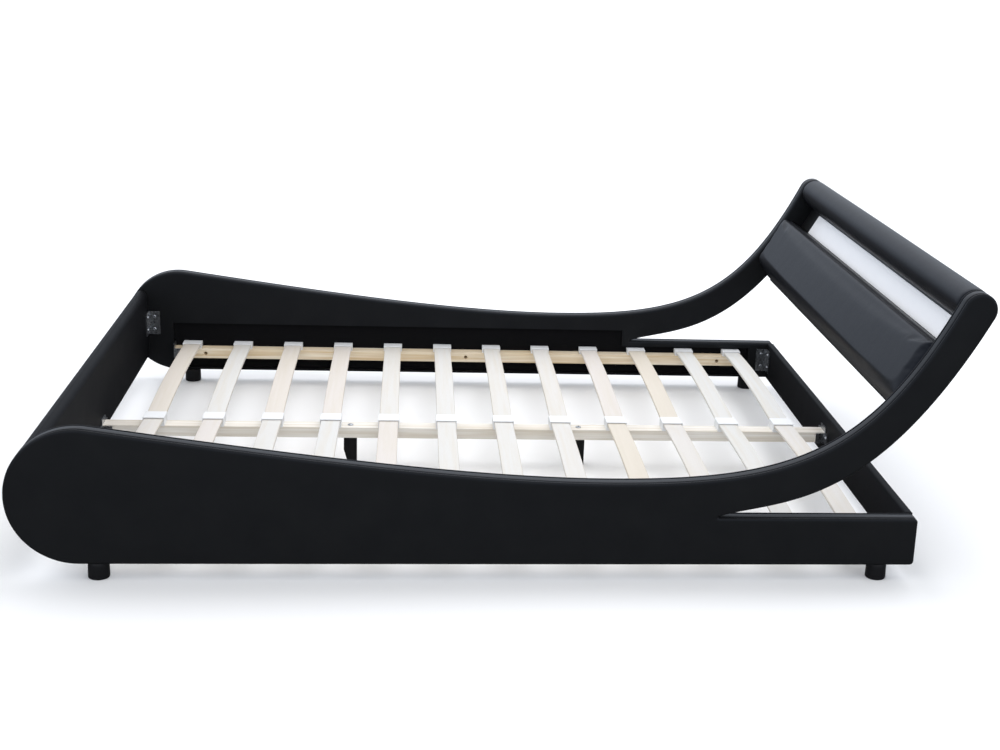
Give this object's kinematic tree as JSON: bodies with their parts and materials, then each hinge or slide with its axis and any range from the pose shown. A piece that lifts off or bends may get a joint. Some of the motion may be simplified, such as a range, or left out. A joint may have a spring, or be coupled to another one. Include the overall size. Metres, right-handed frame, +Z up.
{
  "type": "sleigh bed",
  "caption": "Low queen-size sleigh bed with wave-shaped padded side panels, curved arms, a leaning headboard with a lit recess, and a sprung slat base.",
  "frame": {"origin": "on the floor, at the middle of the whole bed's box", "axes": "+Z up, +Y from the foot end to the head end, +X across the width"},
  "size_m": [1.625, 2.2749, 0.722],
  "materials": {
    "leather": "black faux leather, fine grain, satin",
    "leather_headboard": "black faux leather over soft foam",
    "lining": "black non-woven cloth",
    "board": "raw plywood",
    "board_black": "black-stained plywood",
    "ledger_wood": "planed pine, unfinished",
    "rail_wood": "planed pine, unfinished",
    "slat_wood": "birch veneer, smooth",
    "cap_plastic": "white moulded plastic",
    "black_plastic": "black moulded plastic",
    "steel": "zinc-plated steel",
    "screw_steel": "yellow-passivated steel",
    "black_wood": "black stained wood, satin",
    "diffuser": "opal acrylic",
    "circuit": "white printed strip"
  },
  "bodies": {
    "root": {"side_cover_left": "leather", "side_board_left": "board", "side_lining_left": "lining", "ledger_left": "ledger_wood", "side_cover_right": "leather", "side_board_right": "board", "side_lining_right": "lining", "ledger_right": "ledger_wood", "ledger_screws": "screw_steel", "ledger_end_clips": "steel", "foot_rail_cover": "leather", "foot_rail_board": "board_black", "head_rail_cover": "leather", "head_rail_board": "board_black", "corner_bracket_foot_left": "steel", "corner_bracket_foot_right": "steel", "corner_bracket_head_left": "steel", "corner_bracket_head_right": "steel", "corner_bolts": "steel", "centre_rail": "rail_wood", "rail_bracket_foot": "steel", "rail_bracket_head": "steel", "rail_bracket_screws": "steel", "centre_leg_foot": "black_wood", "centre_leg_head": "black_wood", "centre_leg_bolts": "steel", "slat_caps_left": "cap_plastic", "slat_caps_right": "cap_plastic", "slat_holders": "cap_plastic", "foot_front_left": "black_plastic", "foot_front_right": "black_plastic", "foot_rear_left": "black_plastic", "foot_rear_right": "black_plastic", "foot_studs": "steel", "headboard_frame": "board_black", "headboard_roll": "leather_headboard", "headboard_cushion": "leather_headboard", "headboard_rear_cover": "lining", "recess_liner": "leather", "light_diffuser": "diffuser", "led_strip": "circuit", "led_lead": "black_plastic", "power_inlet": "black_plastic", "headboard_bolts": "steel", "slat_row_1": "slat_wood", "slat_row_2": "slat_wood", "slat_row_3": "slat_wood", "slat_row_4": "slat_wood", "slat_row_5": "slat_wood", "slat_row_6": "slat_wood", "slat_row_7": "slat_wood", "slat_row_8": "slat_wood", "slat_row_9": "slat_wood", "slat_row_10": "slat_wood", "slat_row_11": "slat_wood", "slat_row_12": "slat_wood"}
  },
  "joints": []
}
